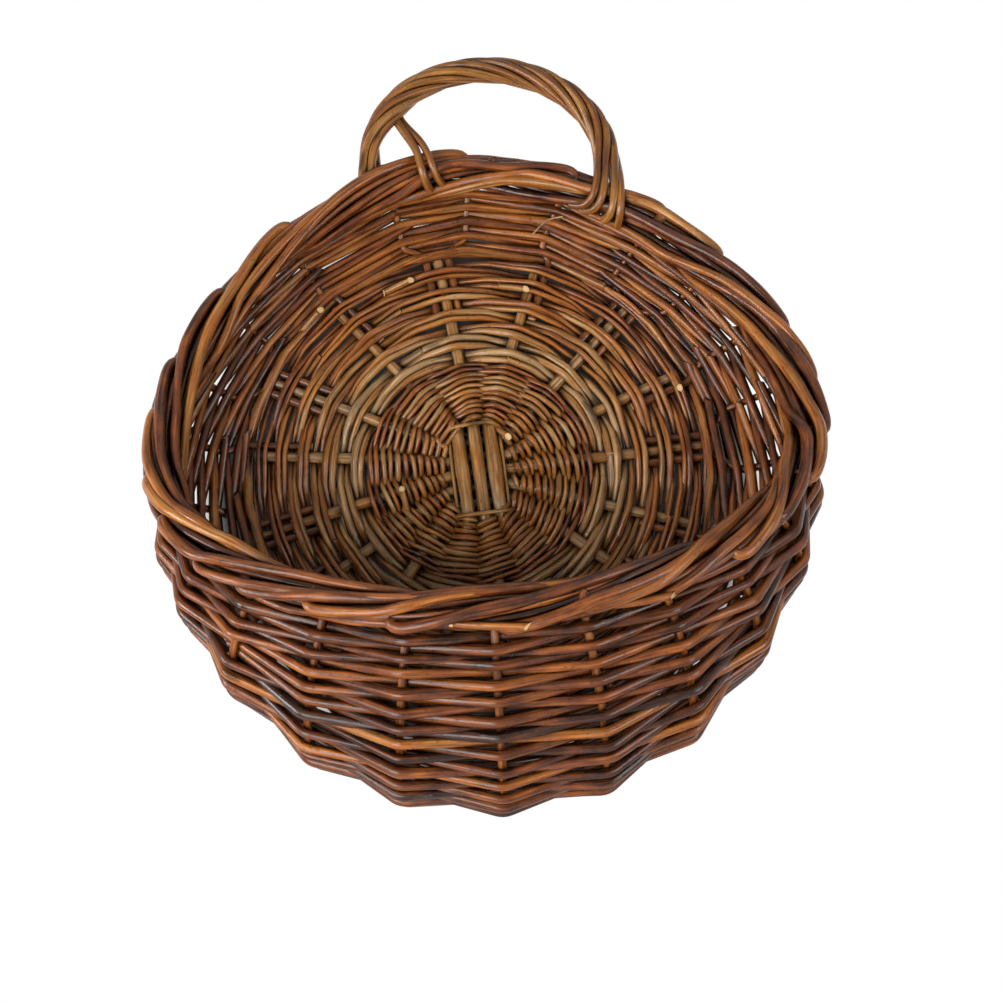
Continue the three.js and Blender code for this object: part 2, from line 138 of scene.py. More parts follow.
def makeWallTable():
    azimuth = np.arange(0, 360, tableStep)
    share = frontShare(azimuth)
    back = np.array([0.0, 1.0, 0.0])
    foot = form["discRadius"] * outward(azimuth) - form["discDepth"] * back
    nearFoot = foot + times(outward(azimuth), mix(*form["footPull"], share ** form["footEase"]))
    nearFoot = nearFoot - times(back + 0 * foot, mix(*form["footLift"], share))
    pull = times(mouthOut(azimuth), mix(*form["rimPull"], share ** form["rimEase"]))
    pull = pull + times(back + 0 * foot, mix(*form["rimLean"], share))
    rim = rimPoint(azimuth)
    slantCos = np.sum(unit(pull) * rimFrame(azimuth)[0], axis=-1)
    short = (form["underBorder"] + np.abs(slantCos) * form["stakeHalf"]) / np.sqrt(1 - slantCos ** 2)
    end = rim + times(unit(pull), short)
    t = np.linspace(0, 1, curveSteps)[:, None, None]
    curve = (1 - t) ** 3 * foot + 3 * (1 - t) ** 2 * t * nearFoot
    curve = curve + 3 * (1 - t) * t ** 2 * (rim + pull) + t ** 3 * end
    steps = np.cumsum(np.linalg.norm(np.diff(curve, axis=0), axis=-1), axis=0)
    run = np.concatenate([np.zeros((1, len(azimuth))), steps])
    points = np.zeros((len(azimuth), tableRows, 3))
    for i in range(len(azimuth)):
        even = np.linspace(0, run[-1, i], tableRows)
        points[i] = np.stack([np.interp(even, run[:, i], curve[:, i, k]) for k in range(3)], axis=-1)
    along = (np.roll(points, -1, axis=0) - np.roll(points, 1, axis=0)) / (2 * tableStep)
    normals = unit(np.cross(np.gradient(points, axis=1), along))
    return points, normals, run[-1]


wallPoints, wallNormals, wallLengths = makeWallTable()


def lookUp(table, azimuth, share):
    column = np.mod(np.asarray(azimuth, float), 360) / tableStep
    row = np.clip(np.asarray(share, float), 0, 1) * (tableRows - 1)
    c = np.floor(column).astype(int)
    r = np.minimum(np.floor(row).astype(int), tableRows - 2)
    u = (column - c)[..., None]
    v = (row - r)[..., None]
    c = c % len(table)
    d = (c + 1) % len(table)
    return mix(mix(table[c, r], table[c, r + 1], v), mix(table[d, r], table[d, r + 1], v), u)


def wallLength(azimuth):
    columns = np.arange(0, 360 + tableStep, tableStep)
    return np.interp(np.mod(azimuth, 360), columns, np.append(wallLengths, wallLengths[0]))


def onWall(azimuth, share, out=0.0):  # a point of the wall, and so many mm off it
    return lookUp(wallPoints, azimuth, share) + times(lookUp(wallNormals, azimuth, share), out)


print("wall surface ready, deepest", round(float(wallLengths.max())), "mm")


# Rods. A rod is a tube along a path, with its own tone and a little unevenness.
withy = {
    "bendLimit": 0.45,  # a bend takes up to this share of the run beside it
    "wanderEvery": 34,
    "swellEvery": 8,
    "swell": 0.055,
    "offAxis": (0.31, 0.87, 0.38),  # a direction that no rod starts along
    "endStep": 5,  # the ends of a row lie this many stakes further round than those of the last
}


def bendPath(corners, cut, steps=4):  # straight runs with rounded bends, as stiff withies lie
    corners = np.asarray(corners, float)
    moved = corners.copy()
    for lift in (True, False):
        middle = moved[1:-1]
        before = moved[:-2] - middle
        after = moved[2:] - middle
        a, b = (middle + times(unit(way), np.minimum(cut, withy["bendLimit"] * np.linalg.norm(way, axis=-1)))
                for way in (before, after))
        if lift:
            moved = moved.copy()
            moved[1:-1] = middle + (middle - (a + b) / 2) / 2
    t = np.linspace(0, 1, steps + 1)[None, :, None]
    bends = (1 - t) ** 2 * a[:, None] + 2 * (1 - t) * t * moved[1:-1, None] + t ** 2 * b[:, None]
    return np.concatenate([moved[:1], bends.reshape(-1, 3), moved[-1:]])


def softPath(points, spacing=1.6, rounds=8):  # evenly spaced, with the corners eased
    points = np.asarray(points, float)
    run = runOf(points)
    even = np.linspace(0, run[-1], max(int(run[-1] / spacing), 4))
    path = np.stack([np.interp(even, run, points[:, k]) for k in range(3)], axis=-1)
    for _ in range(rounds):
        path[1:-1] = (path[:-2] + 2 * path[1:-1] + path[2:]) / 4
    return path


def unevenness(run, spacing, size):  # smooth chance values along a length
    count = int(run[-1] / spacing) + 3
    values = dice.normal(0, size, count)
    return np.interp(run / spacing, np.arange(count), values)


def runOf(path):
    return np.concatenate([[0], np.cumsum(np.linalg.norm(np.diff(path, axis=0), axis=-1))])


def closeRound(corners, start):  # a row all the way round, its ends meeting at one of the corners
    turned = corners[start:] + corners[:start]
    return turned + turned[:1]


def growRod(path, width, tint, taper=0.0, wander=0.0, sides=8, slant=0.0, face=None):
    path = np.asarray(path, float)
    run = runOf(path)
    if wander:
        path = path + np.stack([unevenness(run, withy["wanderEvery"], wander) for _ in range(3)], axis=-1)
    radius = np.asarray(width, float) / 2 * (1 + taper * (0.5 - run / run[-1]))
    radius = radius * (1 + unevenness(run, withy["swellEvery"], withy["swell"]))
    along = unit(np.gradient(path, axis=0))
    side = np.zeros_like(path)
    start = np.cross(along[0], withy["offAxis"])
    side[0] = start / np.linalg.norm(start)
    for i in range(1, len(path)):
        step = side[i - 1] - along[i] * np.dot(side[i - 1], along[i])
        side[i] = step / np.linalg.norm(step)
    other = np.cross(along, side)
    turn = np.arange(sides) / sides * 2 * math.pi
    ring = side[:, None] * np.cos(turn)[:, None] + other[:, None] * np.sin(turn)[:, None]
    ring = times(ring, radius[:, None] + 0 * turn)
    lean = np.zeros((len(path), sides))
    for end, way in ((0, 1), (-1, -1)):  # the ends are cut on a slant, facing one side if asked
        tilt = radius[end] * np.cos(turn) if face is None else ring[end] @ np.asarray(face, float)
        lean[end] = way * slant * tilt
    points = path[:, None] + ring + times(along[:, None] + 0 * ring, lean)
    places = [radius[:, None] * np.cos(turn), radius[:, None] * np.sin(turn), run[:, None] + 0 * turn]
    places = np.stack(places, axis=-1)
    return {"points": points, "places": places, "tint": float(tint), "seed": float(dice.random())}


def joinRods(name, rods, bark, cutEnd):
    points, places, tints, seeds, faces, kinds = [], [], [], [], [], []
    base = 0
    for rod in rods:
        count, sides = rod["points"].shape[:2]
        points.append(rod["points"].reshape(-1, 3))
        places.append(rod["places"].reshape(-1, 3))
        k = np.arange(sides)
        after = (k + 1) % sides
        here = base + np.arange(count - 1)[:, None] * sides
        quads = np.stack([here + k, here + after, here + sides + after, here + sides + k], axis=-1)
        quads = quads.reshape(-1, 4)
        faces.extend(quads.tolist())
        kinds.extend([0] * len(quads))
        base += count * sides
        for end, order in ((0, -1), (count - 1, 1)):  # the two cut ends
            ring = rod["points"][end]
            points.append(np.vstack([ring, ring.mean(axis=0)]))
            mark = rod["places"][end]
            places.append(np.vstack([mark, (0, 0, mark[0, 2])]))
            fan = np.stack([base + k, base + after, np.full(sides, base + sides)], axis=-1)[:, ::order]
            faces.extend(fan.tolist())
            kinds.extend([1] * sides)
            base += sides + 1
        total = count * sides + 2 * (sides + 1)
        tints.append(np.full(total, rod["tint"]))
        seeds.append(np.full(total, rod["seed"]))
    mesh = bpy.data.meshes.new(name)
    mesh.from_pydata(((np.concatenate(points) + form["discMiddle"]) / 1000).tolist(), [], faces)
    kinds = np.array(kinds, np.int32)
    mesh.polygons.foreach_set("use_smooth", kinds == 0)
    mesh.polygons.foreach_set("material_index", kinds)
    for mark, kind, field, values in (("rodPlace", "FLOAT_VECTOR", "vector", places),
                                      ("rodTint", "FLOAT", "value", tints),
                                      ("rodSeed", "FLOAT", "value", seeds)):
        data = mesh.attributes.new(mark, kind, "POINT").data
        data.foreach_set(field, np.concatenate(values).astype(np.float32).ravel())
    mesh.materials.append(bark)
    mesh.materials.append(cutEnd)
    mesh.update()
    return mesh


def layPiece(node, rods, bark):
    piece = bpy.data.objects.new(node + "_rods", joinRods(node + "_rods", rods, bark, cutWillow))
    bpy.context.scene.collection.objects.link(piece)
    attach(piece, "root")
    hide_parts(node)
    return piece


# Materials
def toLinear(hexColour):
    parts = [int(hexColour[i:i + 2], 16) / 255 for i in (1, 3, 5)]
    return tuple(c / 12.92 if c <= 0.04045 else ((c + 0.055) / 1.055) ** 2.4 for c in parts) + (1.0,)


# inputs by name or in their order; hands back one output of the new node
def addNode(tree, kind, inputs=(), out=0, stops=(), **settings):
    node = tree.nodes.new("ShaderNode" + kind)
    for name, value in settings.items():
        setattr(node, name, value)
    for i, (place, colour) in enumerate(stops):
        spot = node.color_ramp.elements[i] if i < 2 else node.color_ramp.elements.new(place)
        spot.position = place
        spot.color = toLinear(colour)
    for name, value in inputs.items() if isinstance(inputs, dict) else enumerate(inputs):
        if isinstance(value, bpy.types.NodeSocket):
            tree.links.new(value, node.inputs[name])
        else:
            node.inputs[name].default_value = value
    return node.outputs[out] if node.outputs else None


def startMaterial(name):
    material = bpy.data.materials.new(name)
    material.use_nodes = True
    material.node_tree.nodes.clear()
    return material, material.node_tree


# Willow with the bark on, varnished: lengthwise streaks, cloudy light and dark stretches, bud scars and
# specks, a tone of its own for each rod, and a thin glossy coat that catches the light along the rod.
patternSizes = {  # mm across the rod both ways, and along it
    "streak": (0.9, 0.9, 22),
    "patch": (5, 5, 12),  # stretches of thicker and thinner stain
    "scar": (5, 5, 20),  # room for one bud scar, which is about 1 mm wide
    "speck": (1.4, 1.4, 2.6),  # room for one bark speck of about 0.5 mm
}
seedStretch = 97.0  # moves each rod to its own part of the patterns
willow = {  # what all the rods have in common
    "streakTone": 0.5,
    "streakRange": (0.32, 0.66),
    "streakLight": 1.15,
    "scarEdge": (0.16, 0.3),  # from full to none, as shares of the room above
    "scarDark": 0.35,
    "speckEdge": (0.14, 0.32),
    "speckDark": 0.6,
    "speckHeight": 0.35,
    "grooveShade": 0.1,  # painted shade: darkest in the grooves between rods, where other rods lie close
    "grooveReach": 0.004,  # m
    "grooveRange": (0.25, 0.85),
    "patchRange": (0.35, 0.65),
    "roughness": (0.21, 0.43),
    "relief": 0.8,
    "reliefHeight": 0.0004,  # m
    "sheen": 0.16,
    "varnish": 0.18,
    "varnishRoughness": 0.14,
    "ior": 1.5,
}
brownTones = ((0.0, "#2c1509"), (1.0, "#9a7850"), (0.25, "#613012"), (0.5, "#884c1c"), (0.75, "#91602c"))
goldTones = ((0.0, "#46230f"), (1.0, "#9e743e"), (0.4, "#74441b"), (0.7, "#8a5c28"))
looks = {
    "varnished brown willow": {**willow, "tones": brownTones, "patchTone": 0.9, "streakDark": 0.3},
    "varnished golden willow": {**willow, "tones": goldTones, "patchTone": 0.8, "streakDark": 0.36},
}


def varnishedWillow(name, look):
    material, tree = startMaterial(name)
    place = addNode(tree, "Attribute", out="Vector", attribute_name="rodPlace")  # mm round and along the rod
    seed = addNode(tree, "Attribute", out="Fac", attribute_name="rodSeed")
    tint = addNode(tree, "Attribute", out="Fac", attribute_name="rodTint")
    shift = addNode(tree, "Math", (seed, seedStretch), operation="MULTIPLY")
    spots = {}
    for kind, size in patternSizes.items():
        perMm = tuple(1 / mm for mm in size)
        spots[kind] = addNode(tree, "VectorMath", (place, perMm), operation="MULTIPLY")
    cloud = {"W": shift, "Scale": 1.0, "Detail": 3.0, "Roughness": 0.6}
    streak, patch = (addNode(tree, "TexNoise", {"Vector": spots[kind], **cloud}, "Fac", noise_dimensions="4D")
                     for kind in ("streak", "patch"))
    dots = {"W": shift, "Scale": 1.0}
    scarDistance, speckDistance = (
        addNode(tree, "TexVoronoi", {"Vector": spots[kind], **dots}, "Distance", voronoi_dimensions="4D")
        for kind in ("scar", "speck"))
    scar = addNode(tree, "MapRange", (scarDistance, *look["scarEdge"], 1, 0), interpolation_type="SMOOTHSTEP")
    speck = addNode(tree, "MapRange", (speckDistance, *look["speckEdge"], 1, 0))
    # tone: the rod's own, with the stain's clouds and streaks about it
    clouded = addNode(tree, "Math", (patch, look["patchTone"], tint), operation="MULTIPLY_ADD")
    streaked = addNode(tree, "Math", (streak, look["streakTone"], clouded), operation="MULTIPLY_ADD")
    middle = (look["patchTone"] + look["streakTone"]) / 2
    tone = addNode(tree, "Math", (streaked, middle), operation="SUBTRACT")
    colour = addNode(tree, "ValToRGB", (tone,), "Color", look["tones"])
    dark = addNode(tree, "MapRange", (streak, *look["streakRange"], look["streakDark"], look["streakLight"]))
    scarDark = addNode(tree, "MapRange", (scar, 0, 1, 1, look["scarDark"]))
    speckDark = addNode(tree, "MapRange", (speck, 0, 1, 1, look["speckDark"]))
    # painted shade: the rods' colour darkens where other rods lie within reach, in the grooves between them
    openness = addNode(tree, "AmbientOcclusion", {"Distance": look["grooveReach"]}, "AO", samples=6)
    grooveShade = addNode(tree, "MapRange", (openness, *look["grooveRange"], look["grooveShade"], 1))
    for more in (scarDark, speckDark, grooveShade):
        dark = addNode(tree, "Math", (dark, more), operation="MULTIPLY")
    shaded = addNode(tree, "VectorMath", {0: colour, "Scale": dark}, operation="SCALE")
    rough = addNode(tree, "MapRange", (patch, *look["patchRange"], *look["roughness"]))
    height = addNode(tree, "Math", (scar, 1, streak), operation="MULTIPLY_ADD")
    height = addNode(tree, "Math", (speck, look["speckHeight"], height), operation="MULTIPLY_ADD")
    relief = {"Strength": look["relief"], "Distance": look["reliefHeight"]}
    bump = addNode(tree, "Bump", {"Height": height, **relief})
    bark = addNode(tree, "BsdfPrincipled", {
        "Base Color": shaded, "Roughness": rough, "Normal": bump, "IOR": look["ior"],
        "Specular IOR Level": look["sheen"], "Coat Weight": look["varnish"],
        "Coat Roughness": look["varnishRoughness"]})
    addNode(tree, "OutputMaterial", {"Surface": bark})
    return material


# Cut willow end: pale wood with a darker bark rim and a small pith, not varnished through
cutWood = {
    "tones": ((0.0, "#7a5230"), (1.0, "#4a2c18"), (0.2, "#c9a878"), (0.62, "#b8935f"), (0.8, "#8a5f38")),
    "grain": {"Scale": 2.5, "Detail": 2.0},
    "stray": 0.5,  # mm that the tones stray with the grain
    "rim": 2.2,  # mm from the middle of a thick rod
    "roughness": 0.6,
    "ior": 1.5,
}


def cutWillowEnd(name, look):
    material, tree = startMaterial(name)
    place = addNode(tree, "Attribute", out="Vector", attribute_name="rodPlace")
    flat = addNode(tree, "VectorMath", (place, (1, 1, 0)), operation="MULTIPLY")
    fromMiddle = addNode(tree, "VectorMath", (flat,), "Value", operation="LENGTH")
    grain = addNode(tree, "TexNoise", {"Vector": place, **look["grain"]}, "Fac")
    reach = addNode(tree, "Math", (grain, look["stray"], fromMiddle), operation="MULTIPLY_ADD")
    share = addNode(tree, "Math", (reach, look["rim"]), operation="DIVIDE")
    colour = addNode(tree, "ValToRGB", (share,), "Color", look["tones"])
    finish = {"Roughness": look["roughness"], "IOR": look["ior"]}
    wood = addNode(tree, "BsdfPrincipled", {"Base Color": colour, **finish})
    addNode(tree, "OutputMaterial", {"Surface": wood})
    return material


brownWillow, goldWillow = (varnishedWillow(name, look) for name, look in looks.items())
cutWillow = cutWillowEnd("cut willow end", cutWood)
print("materials made")

# Base sticks, crossed in the middle: three upright in front, five across behind
sticks = {
    "width": 5.7,
    "rearWidth": 5.6,
    "endWidth": 3.9,
    "pitch": 6,  # from stick to stick where they are tied
    "turn": -8,  # degrees that the cross leans left
    # azimuths of the two ends of each stick
    "frontEnds": ((319, 191), (349, 169), (15, 147)),
    "rearEnds": ((41, 294), (63, 274), (83, 253), (104, 234), (125, 213)),
    "frontDepth": 8.7,
    "rearDepth": 4.1,
    "straight": (17.9, 11.9),  # half lengths under the binding: front sticks, rear sticks
    "settle": 26,  # beyond this radius all spokes lie at one depth
    "reach": 85.5,
    "tint": (0.78, 0.95),
    "steps": 26,
    "wander": 0.12,
}
spokes = []


def layStick(ends, heading, sideways, straight, depth):
    made = []
    for side, azimuth in enumerate(ends):
        knee = outward(heading + 90) * sideways + outward(heading) * (straight if side == 0 else -straight)
        tip = outward(azimuth) * sticks["reach"]
        made.append({"knee": knee, "tip": tip, "azimuth": azimuth, "depth": depth})
    spokes.extend(made)
    return made


def spokeAt(spoke, radius):
    kneeRadius = np.linalg.norm(spoke["knee"])
    return mix(spoke["knee"], spoke["tip"], (radius - kneeRadius) / (sticks["reach"] - kneeRadius))


def spokeDepth(spoke, radius):
    kneeRadius = np.linalg.norm(spoke["knee"])
    settled = ease((radius - kneeRadius) / (sticks["settle"] - kneeRadius))
    return mix(spoke["depth"], form["discDepth"], settled)


def atDepth(point, depth):
    return np.array([point[0], -depth, point[2]])


def stickRod(stick):
    first, second = stick
    inward = np.linspace(sticks["reach"], np.linalg.norm(first["knee"]), sticks["steps"])
    back = np.linspace(np.linalg.norm(second["knee"]), sticks["reach"], sticks["steps"])
    path = [atDepth(spokeAt(first, r), spokeDepth(first, r)) for r in inward]
    path += [atDepth(mix(first["knee"], second["knee"], t), first["depth"]) for t in (0.25, 0.5, 0.75)]
    path += [atDepth(spokeAt(second, r), spokeDepth(second, r)) for r in back]
    run = runOf(np.array(path))
    thick = sticks["width"] if first["depth"] > form["discDepth"] else sticks["rearWidth"]
    width = mix(thick, sticks["endWidth"], np.sqrt(np.abs(run / run[-1] * 2 - 1)))
    return growRod(path, width, dice.uniform(*sticks["tint"]), sides=10, wander=sticks["wander"])


for row, ends, heading, straight, depth in (
        ("front", sticks["frontEnds"], sticks["turn"], sticks["straight"][0], sticks["frontDepth"]),
        ("rear", sticks["rearEnds"], sticks["turn"] + 90, sticks["straight"][1], sticks["rearDepth"])):
    for i, pair in enumerate(ends):
        sideways = (i - (len(ends) - 1) / 2) * sticks["pitch"]
        stick = layStick(pair, heading, sideways, straight, depth)
        layPiece(f"base_stick_{row}_{i + 1}", [stickRod(stick)], brownWillow)
spokes.sort(key=lambda spoke: spoke["azimuth"])
print("base sticks laid,", len(spokes), "spokes")

# Binding: two thin withies round the cross, the second outside the first
binding = {
    "width": 1.6,
    "gap": 0.3,
    "half": (7.7, 13.7),  # half the cross, over the three front sticks and over the five behind
    "clear": 0.4,  # from the cross and between the two
    "stickWidth": 4.2,  # of the sticks where they are tied
    "bend": 6,
    "wander": 0.25,
    "tint": (0.75, 0.95),
}


def bindingRod(lap, depthAtFront, depthAtRear):
    halfX, halfZ = binding["half"]
    out = (lap + 1) * binding["clear"] + (lap + 0.5) * binding["width"]
    across = halfX + binding["clear"] + out
    along = halfZ + binding["clear"] + out
    corners = [(-halfX, along, depthAtFront), (halfX, along, depthAtFront),
               (across, halfZ, depthAtRear), (across, -halfZ, depthAtRear),
               (halfX, -along, depthAtFront), (-halfX, -along, depthAtFront),
               (-across, -halfZ, depthAtRear), (-across, halfZ, depthAtRear)]
    right = outward(sticks["turn"] + 90)
    up = outward(sticks["turn"])
    points = [atDepth(right * x + up * z, depth) for x, z, depth in corners]
    points = [(points[-1] + points[0]) / 2] + points + [(points[-1] + points[0]) / 2]
    path = bendPath(points, binding["bend"], 5)
    return growRod(path, binding["width"], dice.uniform(*binding["tint"]), wander=binding["wander"])


reach = (binding["stickWidth"] + binding["width"]) / 2 + binding["gap"]
innerTie = bindingRod(0, sticks["frontDepth"] - reach, sticks["rearDepth"] + reach)
layPiece("binding_inner", [innerTie], goldWillow)
outerTie = bindingRod(1, sticks["frontDepth"] + reach, sticks["rearDepth"] - reach)
layPiece("binding_outer", [outerTie], goldWillow)

# Fine weave: rows of two twined withies, from the cross out to a round of about 42 mm
fine = {
    "width": 2.25,
    "inner": (14.6, 20.5),  # half width and half height of the first row, round the cross
    "outer": 42.0,
    "rows": 11,
    "innerRows": 7,  # these are the first piece, the others the second
    "edgeFrom": 0.8,  # the outermost rows are darker and thinner
    "edgeWidth": 0.82,
    "edgeTint": (0.25, 0.5),
    "tint": (0.42, 0.9),
    "stickWidth": 3.9,  # of the spokes that they pass
    "twine": 0.35,  # how far the two lie apart between spokes, as a share of their width
    "uneven": 0.3,
    "kneeShare": 0.9,  # the first rows follow the spokes from here on, as a share of the way to their knees
    "vary": (0.88, 1.08),
    "bend": 3.0,
    "wander": 0.2,
}


def fineRods(row):
    share = row / (fine["rows"] - 1)
    edge = share > fine["edgeFrom"]
    rods = []
    width = fine["width"] * (fine["edgeWidth"] if edge else 1.0)
    for start in (0, 1):
        corners = []
        for j, spoke in enumerate(spokes):
            for between in (0, 1):  # at the spoke, then halfway to the next
                following = spokes[(j + 1) % len(spokes)]
                ahead = (following["azimuth"] - spoke["azimuth"]) % 360
                azimuth = spoke["azimuth"] + between * ahead / 2
                turn = math.radians(azimuth - sticks["turn"])
                radius = 1 / math.hypot(math.sin(turn) / mix(fine["inner"][0], fine["outer"], share),
                                        math.cos(turn) / mix(fine["inner"][1], fine["outer"], share))
                front = 1 if (j + start + row) % 2 == 0 else -1
                if between:
                    depth = (spokeDepth(spoke, radius) + spokeDepth(following, radius)) / 2
                    slip = dice.normal(0, fine["uneven"], 2)
                    out = radius + front * fine["twine"] * width + slip[0]
                    corners.append(atDepth(outward(azimuth) * out, depth + slip[1]))
                else:
                    point = spokeAt(spoke, max(radius, np.linalg.norm(spoke["knee"]) * fine["kneeShare"]))
                    depth = spokeDepth(spoke, radius) + front * (fine["stickWidth"] + width) / 2
                    corners.append(atDepth(unit(point) * radius, depth))
        corners = closeRound(corners, 2 * ((row * withy["endStep"] + start + 1) % len(spokes)))
        tint = dice.uniform(*(fine["edgeTint"] if edge else fine["tint"]))
        thick = width * dice.uniform(*fine["vary"])
        rods.append(growRod(bendPath(corners, fine["bend"], 3), thick, tint, wander=fine["wander"], sides=7))
    return rods


# cut ends of weavers that stand a little out of the weave, in mm right of and above the middle
cutEnds = {
    "fine_weave_1": ((-29.1, -8.0), (11.0, 12.6)),
    "disc_weave_4": ((17.8, 71.2), (-26.6, 74.6)),
    "disc_weave_5": ((76.5, 32.0), (-61.1, 62.5)),
}
stub = {
    "width": 2.5,
    "tint": 0.7,
    "rise": ((11, 0.5), (5, 3.4), (0, 5.4)),  # mm back along the rod, mm out of the disc
}


def endStubs(node):
    stubs = []
    for x, z in cutEnds.get(node, ()):
        spot = np.array([x, 0.0, z])
        across = unit(np.array([z, 0.0, -x]))
        path = [atDepth(spot - across * back, form["discDepth"] + rise) for back, rise in stub["rise"]]
        stubs.append(growRod(softPath(path, 0.8, 6), stub["width"], stub["tint"], slant=1.0, face=(0, -1, 0)))
    return stubs


innerRods = [rod for row in range(fine["innerRows"]) for rod in fineRods(row)]
layPiece("fine_weave_1", innerRods + endStubs("fine_weave_1"), brownWillow)
outerRods = [rod for row in range(fine["innerRows"], fine["rows"]) for rod in fineRods(row)]
layPiece("fine_weave_2", outerRods, brownWillow)
print("fine weave done")

# Disc weave: ten bands of two rods over and under the spokes, thicker near the middle
disc = {
    "start": 43.4,
    "widths": (2.75, 2.7, 2.65, 2.45, 2.3, 2.1, 2.05, 2.0, 1.85, 1.75),
    "tints": ((0.8, 1.0), (0.8, 1.0), (0.6, 1.0), (0.5, 0.9), (0.4, 0.9),
              (0.35, 0.8), (0.3, 0.8), (0.3, 0.7), (0.3, 0.7), (0.25, 0.6)),
    "stickWidth": 3.6,  # of the spokes that they pass
    "stakesFrom": 64,  # beyond this radius they pass the stakes together with the spokes
    "stakeAside": 4.2,
    "nest": 0.9,  # the two rods of a band lie at slightly different depths
    "swell": 1.08,
    "vary": (0.9, 1.08),
    "bend": 3.4,
    "wander": 0.3,
    "taper": (-0.2, 0.2),
    "uneven": 0.25,
}


def stakeSides(index):  # stakes stand on one side of a spoke and on both sides of the next
    return (1,) if index % 2 == 0 else (-1, 1)


def discRods(band):
    width = disc["widths"][band]
    inner = disc["start"] + 2 * sum(disc["widths"][:band])
    rods = []
    for lane in range(2):
        radius = inner + width * (lane + 0.5)
        corners = []
        for j, spoke in enumerate(spokes):
            side = 1 if (band + j) % 2 == 0 else -1
            middle = azimuthOf(spokeAt(spoke, radius))
            reach = {-1: 0.0, 1: 0.0}
            if radius > disc["stakesFrom"]:
                for hand in stakeSides(j):
                    reach[hand] = disc["stakeAside"]
            depth = form["discDepth"] + side * (disc["stickWidth"] + width) / 2 + disc["nest"] * (lane - 0.5)
            for hand in (-1, 1):
                if hand == -1 or reach[-1] + reach[1] > 0:
                    azimuth = middle + hand * math.degrees(reach[hand] / radius)
                    corners.append(atDepth(outward(azimuth) * radius, depth))
            following = azimuthOf(spokeAt(spokes[(j + 1) % len(spokes)], radius))
            halfway = middle + ((following - middle) % 360) / 2
            out = radius + dice.normal(0, disc["uneven"])
            depth = form["discDepth"] + dice.normal(0, disc["uneven"])
            corners.append(atDepth(outward(halfway) * out, depth))
        corners = closeRound(corners, int(dice.integers(len(corners))))
        thick = width * disc["swell"] * dice.uniform(*disc["vary"])
        tint = dice.uniform(*disc["tints"][band])
        taper = dice.uniform(*disc["taper"])
        rods.append(growRod(bendPath(corners, disc["bend"]), thick, tint, wander=disc["wander"], taper=taper))
    return rods


for k in range(5):
    node = f"disc_weave_{k + 1}"
    layPiece(node, discRods(2 * k) + discRods(2 * k + 1) + endStubs(node), brownWillow)
print("disc weave done")

# Stakes: pushed in beside the spokes, they turn forward at the disc's edge and carry the wall
stake = {
    "width": 3.1,
    "insert": 23,  # pushed this far into the disc
    "sideways": disc["stakeAside"],
    "spread": 7.5,  # degrees that the two stakes of a spoke spread
    "spreadBy": 0.3,  # share of the wall's height where they have done so
    "intoBorder": 3.0,
    "steps": 26,
    "taper": 0.12,
    "wander": 0.1,
    "tint": (0.2, 0.5),
}
stakes = []
for index, spoke in enumerate(spokes):
    heading = azimuthOf(spoke["tip"] - spoke["knee"])
    for hand in stakeSides(index):
        beside = outward(heading + 90) * hand * stake["sideways"]
        inner = spokeAt(spoke, form["discRadius"] - stake["insert"]) + beside
        edge = spokeAt(spoke, form["discRadius"]) + beside
        lean = azimuthOf(edge) - azimuthOf(spoke["tip"])
        spread = hand * stake["spread"] if len(stakeSides(index)) == 2 else 0.0
        stakes.append({"spoke": index, "azimuth": spoke["azimuth"], "inner": inner,
                       "lean": (lean + 180) % 360 - 180, "spread": spread})


def stakeAzimuth(one, share):
    done = ease(np.asarray(share, float) / stake["spreadBy"])
    return one["azimuth"] + mix(one["lean"], one["spread"], done)


for i, one in enumerate(stakes):
    shares = np.linspace(0, 1, stake["steps"])
    climb = onWall(stakeAzimuth(one, shares), shares)
    inside = [atDepth(mix(one["inner"], climb[0], t), form["discDepth"]) for t in (0, 0.3, 0.6, 0.85)]
    top = climb[-1] + unit(climb[-1] - climb[-2]) * stake["intoBorder"]
    path = np.vstack([inside, climb, [top]])
    tint = dice.uniform(*stake["tint"])
    rod = growRod(path, stake["width"], tint, taper=stake["taper"], wander=stake["wander"])
    layPiece(f"stake_{i + 1:02d}", [rod], brownWillow)
print(len(stakes), "stakes set")

# Wall: nine rows go all the way round; pairs of short rows fill the deep front and turn back round a stake
wall = {
    "width": 3.85,
    "pairsAfter": (2, 2, 2, 1, 2, 2, 2, 1, 2),
    "pairOrder": (9, 4, 12, 2, 15, 7, 13, 1, 10, 5, 14, 3, 16, 11, 6, 8),  # pair 1 reaches furthest round
    "pitch": (2.0, 3.2),  # of the rows, at the top and in front
    "groupedRows": 2,  # the first rounds pass both stakes of a spoke together
    "squeeze": 0.7,  # room of a short row at its end
    "fullAfter": 10,  # degrees from its end to its full room
    "goneAfter": 4,  # degrees past its end until the rows round it close up
    "topEnds": (20.0, 340.0),  # the longest short rows end here
    "fewest": 4,  # the shortest rows still pass this many stakes
    "closeUp": 0.6,  # the last row lies close under the border
    # how far the rods lie in front of the stakes and behind them: at the top, in the pocket
    "swing": (1.3, 2.8),
    "tail": 5,  # a short row ends this far past a stake, on the inside
    "bend": 2.6,
    "vary": (0.84, 1.08),
    "overlap": 1.35,  # a rod is at most this much wider than its row's room
    "wander": 0.24,
    "taper": (-0.2, 0.2),
    "slip": 0.0045,  # unevenness of the rows, as a share of the wall's height
    "roundTint": (0.25, 0.7),
    "shortTint": ((-0.08, 0.26), (0.05, 0.56)),  # painted shade: darker at the bottom of the pocket, lighter under the border
}
fibre = {  # one loose fibre at the top of the wall
    "azimuths": (12.0, 14.0, 17.0),
    "heights": (0.4, 0.75, 1.0),
    "out": (-4.6, -7.5, -9.0),
    "width": 0.7,
    "tint": 0.95,
}
fullRows = len(wall["pairsAfter"])
ringOrder = []
